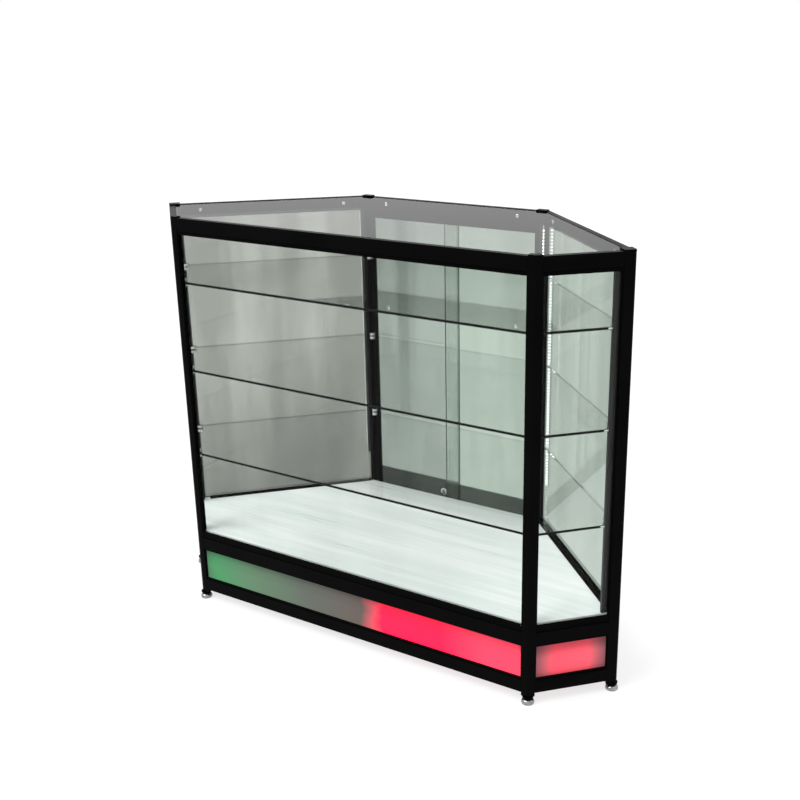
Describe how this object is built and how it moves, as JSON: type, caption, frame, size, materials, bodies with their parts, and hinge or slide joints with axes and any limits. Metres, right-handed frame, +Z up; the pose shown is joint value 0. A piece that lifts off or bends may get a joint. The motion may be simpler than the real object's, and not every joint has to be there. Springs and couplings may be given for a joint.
{
  "type": "corner display counter",
  "caption": "Six-sided glass corner display counter with a black metal frame, glass shelves, a lit plinth, sliding glass doors at the back and levelling feet.",
  "frame": {"origin": "on the floor, under the middle of the case", "axes": "+X to the shopper's right along the long front, +Y from the front to the back, +Z up"},
  "size_m": [1.283, 0.5296, 1.031],
  "materials": {
    "black_aluminium": "satin black powder coat",
    "glass": "clear float glass",
    "white_board": "white melamine board",
    "lit_acrylic": "frosted acrylic, lit from behind",
    "black_panel": "matt black",
    "chrome": "polished",
    "light_channel": "satin anodised",
    "black_plastic": "glazing beads",
    "light_strip": "white light strip",
    "nylon": "smooth"
  },
  "bodies": {
    "case": {"post_front_left": "black_aluminium", "post_front_right": "black_aluminium", "post_end_right": "black_aluminium", "post_back_right": "black_aluminium", "post_back_left": "black_aluminium", "post_end_left": "black_aluminium", "top_rail_front": "black_aluminium", "top_rail_return_right": "black_aluminium", "top_rail_end_right": "black_aluminium", "top_rail_back": "black_aluminium", "top_rail_end_left": "black_aluminium", "top_rail_return_left": "black_aluminium", "mid_rail_front": "black_aluminium", "mid_rail_return_right": "black_aluminium", "mid_rail_end_right": "black_aluminium", "mid_rail_back": "black_aluminium", "mid_rail_end_left": "black_aluminium", "mid_rail_return_left": "black_aluminium", "bottom_rail_front": "black_aluminium", "bottom_rail_return_right": "black_aluminium", "bottom_rail_end_right": "black_aluminium", "bottom_rail_back": "black_aluminium", "bottom_rail_end_left": "black_aluminium", "bottom_rail_return_left": "black_aluminium", "glass_front": "glass", "glass_return_right": "glass", "glass_end_right": "glass", "glass_end_left": "glass", "glass_return_left": "glass", "plinth_panel_front": "lit_acrylic", "plinth_panel_return_right": "lit_acrylic", "plinth_panel_end_right": "black_panel", "plinth_panel_back": "black_panel", "plinth_panel_end_left": "black_panel", "plinth_panel_return_left": "lit_acrylic", "base_board": "white_board", "glass_top": "glass", "glass_shelf_lower": "glass", "glass_shelf_middle": "glass", "glass_shelf_upper": "glass", "light_bar_end_right": "light_channel", "light_bar_back_right": "light_channel", "light_bar_back_left": "light_channel", "light_bar_end_left": "light_channel"},
    "door_left": {"door_glass_left": "glass", "door_rail_left": "black_aluminium", "lock_barrel": "chrome"},
    "door_right": {"door_glass_right": "glass", "door_rail_right": "black_aluminium"},
    "lock_plug": {"lock_plug": "chrome"},
    "roller_left_door_1": {"roller_left_door_1": "nylon"},
    "roller_left_door_2": {"roller_left_door_2": "nylon"},
    "roller_right_door_1": {"roller_right_door_1": "nylon"},
    "roller_right_door_2": {"roller_right_door_2": "nylon"},
    "foot_front_left": {"foot_front_left": "chrome"},
    "foot_front_right": {"foot_front_right": "chrome"},
    "foot_end_right": {"foot_end_right": "chrome"},
    "foot_back_right": {"foot_back_right": "chrome"},
    "foot_back_left": {"foot_back_left": "chrome"},
    "foot_end_left": {"foot_end_left": "chrome"}
  },
  "joints": [
    {"name": "door_left_slide", "type": "slide", "parent": "case", "child": "door_left", "axis": [1, 0, 0], "range_m": [0, 0.2248]},
    {"name": "door_right_slide", "type": "slide", "parent": "case", "child": "door_right", "axis": [-1, 0, 0], "range_m": [0, 0.2248]},
    {"name": "lock_turn", "type": "hinge", "parent": "door_left", "child": "lock_plug", "pos_m": [-0.031, 0.2538, 0.2105], "axis": [0, 1, 0], "range_deg": [0, 90]},
    {"name": "roller_left_door_1_spin", "type": "hinge", "parent": "door_left", "child": "roller_left_door_1", "pos_m": [-0.022, 0.2538, 0.1903], "axis": [0, 1, 0], "range_deg": [0, 2600]},
    {"name": "roller_left_door_2_spin", "type": "hinge", "parent": "door_left", "child": "roller_left_door_2", "pos_m": [-0.20306, 0.2538, 0.1903], "axis": [0, 1, 0], "range_deg": [0, 2600]},
    {"name": "roller_right_door_1_spin", "type": "hinge", "parent": "door_right", "child": "roller_right_door_1", "pos_m": [0.20306, 0.2434, 0.1903], "axis": [0, -1, 0], "range_deg": [0, 2600]},
    {"name": "roller_right_door_2_spin", "type": "hinge", "parent": "door_right", "child": "roller_right_door_2", "pos_m": [0.022, 0.2434, 0.1903], "axis": [0, -1, 0], "range_deg": [0, 2600]},
    {"name": "foot_front_left_screw", "type": "hinge", "parent": "case", "child": "foot_front_left", "pos_m": [-0.48205, -0.2498, 0], "axis": [0, 0, 1], "continuous": true},
    {"name": "foot_front_right_screw", "type": "hinge", "parent": "case", "child": "foot_front_right", "pos_m": [0.48205, -0.2498, 0], "axis": [0, 0, 1], "continuous": true},
    {"name": "foot_end_right_screw", "type": "hinge", "parent": "case", "child": "foot_end_right", "pos_m": [0.6265, -0.10536, 0], "axis": [0, 0, 1], "continuous": true},
    {"name": "foot_back_right_screw", "type": "hinge", "parent": "case", "child": "foot_back_right", "pos_m": [0.25906, 0.2498, 0], "axis": [0, 0, 1], "continuous": true},
    {"name": "foot_back_left_screw", "type": "hinge", "parent": "case", "child": "foot_back_left", "pos_m": [-0.25906, 0.2498, 0], "axis": [0, 0, 1], "continuous": true},
    {"name": "foot_end_left_screw", "type": "hinge", "parent": "case", "child": "foot_end_left", "pos_m": [-0.6265, -0.10536, 0], "axis": [0, 0, 1], "continuous": true}
  ],
  "couplings": [
    {"joint": "roller_left_door_1_spin", "follows": "door_left_slide", "rad_per_m": 200},
    {"joint": "roller_left_door_2_spin", "follows": "door_left_slide", "rad_per_m": 200},
    {"joint": "roller_right_door_1_spin", "follows": "door_right_slide", "rad_per_m": 200},
    {"joint": "roller_right_door_2_spin", "follows": "door_right_slide", "rad_per_m": 200}
  ]
}
